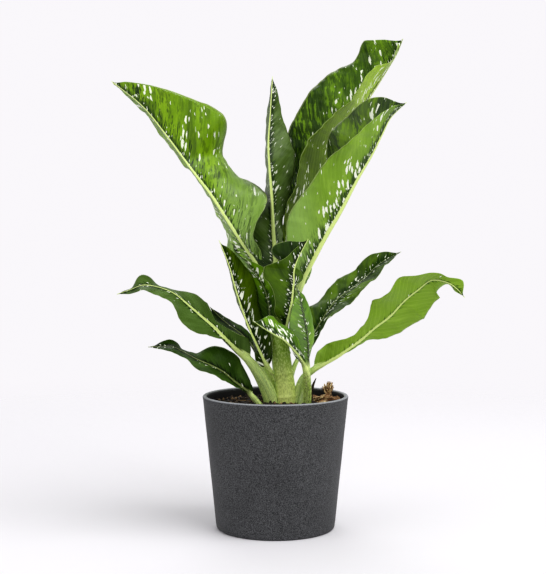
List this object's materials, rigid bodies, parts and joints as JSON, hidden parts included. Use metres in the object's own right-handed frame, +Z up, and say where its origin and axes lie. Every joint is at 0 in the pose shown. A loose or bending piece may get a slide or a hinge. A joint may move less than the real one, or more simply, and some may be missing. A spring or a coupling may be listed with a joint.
{
  "type": "potted dieffenbachia",
  "caption": "Potted dieffenbachia: broad white-flecked leaves on stalks from one cane, in a plain dark cone-shaped pot filled with soil.",
  "frame": {"origin": "centre of the pot's flat underside, where it rests", "axes": "+Z up the plant, -Y to the front, +X to the right as seen from the front"},
  "size_m": [0.3344, 0.1631, 0.4807],
  "materials": {
    "pot": "fine-grained matte charcoal composite",
    "soil": "crumbly dark potting soil",
    "cane": "satin green cane with pale specks",
    "leaf": "waxy green leaf with white flecks, paler underneath",
    "bark": "rough golden-brown bark",
    "husk": "dry coarse fibre",
    "dried_sheath": "dry dark brown sheath"
  },
  "bodies": {
    "root": {"pot": "pot", "soil": "soil", "cane": "cane", "leaf_upper_left": "leaf", "leaf_centre_spear": "leaf", "leaf_top_right": "leaf", "leaf_upper_right": "leaf", "leaf_centre_front": "leaf", "leaf_front_arch": "leaf", "leaf_side_shoot": "leaf", "leaf_mid_left": "leaf", "leaf_mid_left_inner": "leaf", "leaf_low_left": "leaf", "leaf_back_left": "leaf", "leaf_bottom_left": "leaf", "leaf_back_right": "leaf", "leaf_low_right": "leaf", "bark_chip_1": "bark", "bark_chip_2": "bark", "bark_chip_3": "bark", "bark_chip_4": "bark", "bark_chip_5": "bark", "bark_chip_6": "bark", "bark_chip_7": "bark", "bark_chip_8": "bark", "husk_tuft": "husk", "dried_sheath": "dried_sheath"}
  },
  "joints": []
}
